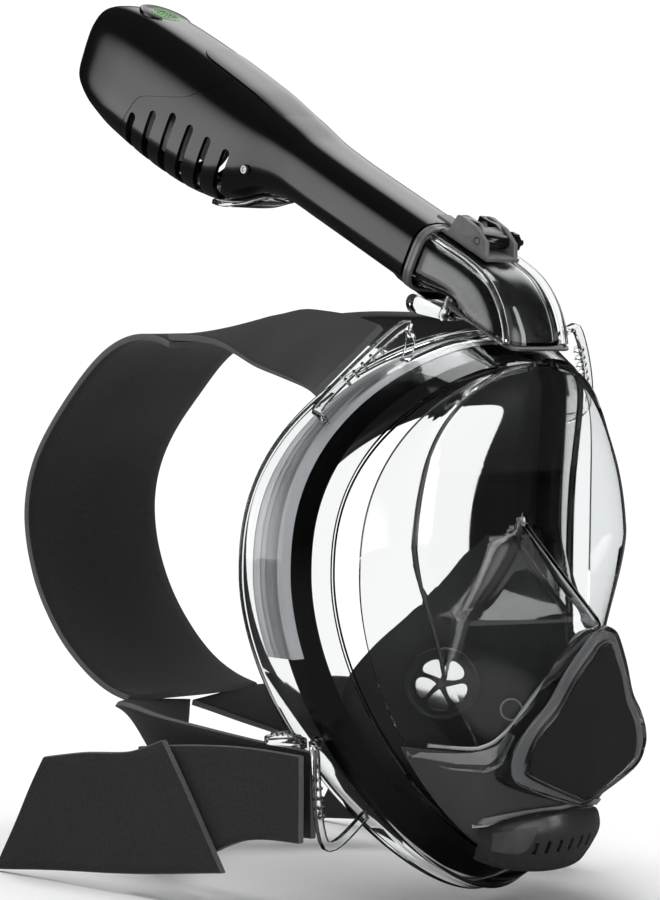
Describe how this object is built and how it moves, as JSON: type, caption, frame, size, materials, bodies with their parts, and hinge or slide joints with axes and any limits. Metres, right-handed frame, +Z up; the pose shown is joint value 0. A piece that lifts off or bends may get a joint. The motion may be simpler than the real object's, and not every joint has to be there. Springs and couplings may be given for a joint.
{
  "type": "full face snorkel",
  "caption": "Clear full-face diving mask with a silicone skirt and nose pocket, a neoprene head harness, an air elbow and a detachable snorkel with a grilled dry top.",
  "frame": {"origin": "centre of the face seal opening, where the face meets the skirt", "axes": "+Z up towards the brow and the snorkel, the lens faces -Y, the wearer's right side is -X"},
  "size_m": [0.212, 0.3372, 0.4107],
  "materials": {
    "clear": "gloss",
    "milky": "gloss",
    "smoke": "gloss",
    "black": "gloss",
    "grey": "satin",
    "silicone": "satin",
    "pocket": "satin",
    "valve": "translucent",
    "neoprene": "matte",
    "steel": "satin"
  },
  "bodies": {
    "mask": {"cheek_valve_left": "clear", "cheek_valve_right": "clear", "drain_cover": "grey", "drain_seat": "smoke", "elbow_collar": "milky", "elbow_duct": "clear", "elbow_seat": "smoke", "face_skirt": "silicone", "front_shield": "black", "inhale_seat_left": "pocket", "inhale_seat_right": "pocket", "inner_frame": "black", "jaw_frame": "smoke", "lens": "clear", "lens_frame": "clear", "lever_pin": "steel", "lower_loop_left": "neoprene", "lower_loop_right": "neoprene", "lower_strap_left": "neoprene", "lower_strap_right": "neoprene", "mount_base": "grey", "nose_pocket": "pocket", "shield_bezel": "clear", "strap_clip_left": "clear", "strap_clip_right": "clear", "strap_panel": "neoprene", "strap_tail_left": "neoprene", "strap_tail_right": "neoprene", "upper_strap_left": "neoprene", "upper_strap_right": "neoprene"},
    "snorkel": {"snorkel_tube": "black", "head_cap": "black", "front_panel": "black", "badge": "grey", "float_cover": "clear", "tube_seal": "silicone", "valve_deck": "grey", "float_pin": "steel", "cover_pin_right": "steel", "cover_pin_left": "steel"},
    "float_right": {"float_right": "milky", "seal_pad_right": "silicone"},
    "float_left": {"float_left": "milky", "seal_pad_left": "silicone"},
    "release_lever": {"release_lever": "clear"},
    "camera_mount": {"camera_mount": "black"},
    "thumb_screw": {"thumb_screw": "black"},
    "drain_flap": {"drain_flap": "valve"},
    "inhale_flap_right": {"inhale_flap_right": "valve"},
    "inhale_flap_left": {"inhale_flap_left": "valve"}
  },
  "joints": [
    {"name": "snorkel_release", "type": "slide", "parent": "mask", "child": "snorkel", "axis": [0, 0.8829, 0.4695], "range_m": [0, 0.04]},
    {"name": "float_right_hinge", "type": "hinge", "parent": "snorkel", "child": "float_right", "pos_m": [0, 0.17245, 0.2354], "axis": [-1, 0, 0], "range_deg": [0, 16]},
    {"name": "float_left_hinge", "type": "hinge", "parent": "snorkel", "child": "float_left", "pos_m": [0, 0.17245, 0.2354], "axis": [-1, 0, 0], "range_deg": [0, 16]},
    {"name": "latch_pivot", "type": "hinge", "parent": "mask", "child": "release_lever", "pos_m": [0, -0.00957, 0.12616], "axis": [-1, 0, 0], "range_deg": [0, 25], "stiffness_Nm_per_rad": 0.03, "springref_deg": -11.46},
    {"name": "camera_mount_pivot", "type": "hinge", "parent": "mask", "child": "camera_mount", "pos_m": [0, -0.03113, 0.15818], "axis": [1, 0, 0], "range_deg": [0, 90]},
    {"name": "thumb_screw_turn", "type": "hinge", "parent": "mask", "child": "thumb_screw", "pos_m": [0, -0.03113, 0.15818], "axis": [1, 0, 0], "continuous": true},
    {"name": "drain_flap_lift", "type": "slide", "parent": "mask", "child": "drain_flap", "axis": [0, -0.9292, -0.3697], "range_m": [0, 0.001], "stiffness_N_per_m": 20, "springref_m": -0.001},
    {"name": "inhale_right_lift", "type": "slide", "parent": "mask", "child": "inhale_flap_right", "axis": [0.7828, 0.6222, 0], "range_m": [0, 0.0018], "stiffness_N_per_m": 20, "springref_m": -0.001},
    {"name": "inhale_left_lift", "type": "slide", "parent": "mask", "child": "inhale_flap_left", "axis": [-0.7828, 0.6222, 0], "range_m": [0, 0.0018], "stiffness_N_per_m": 20, "springref_m": -0.001}
  ]
}
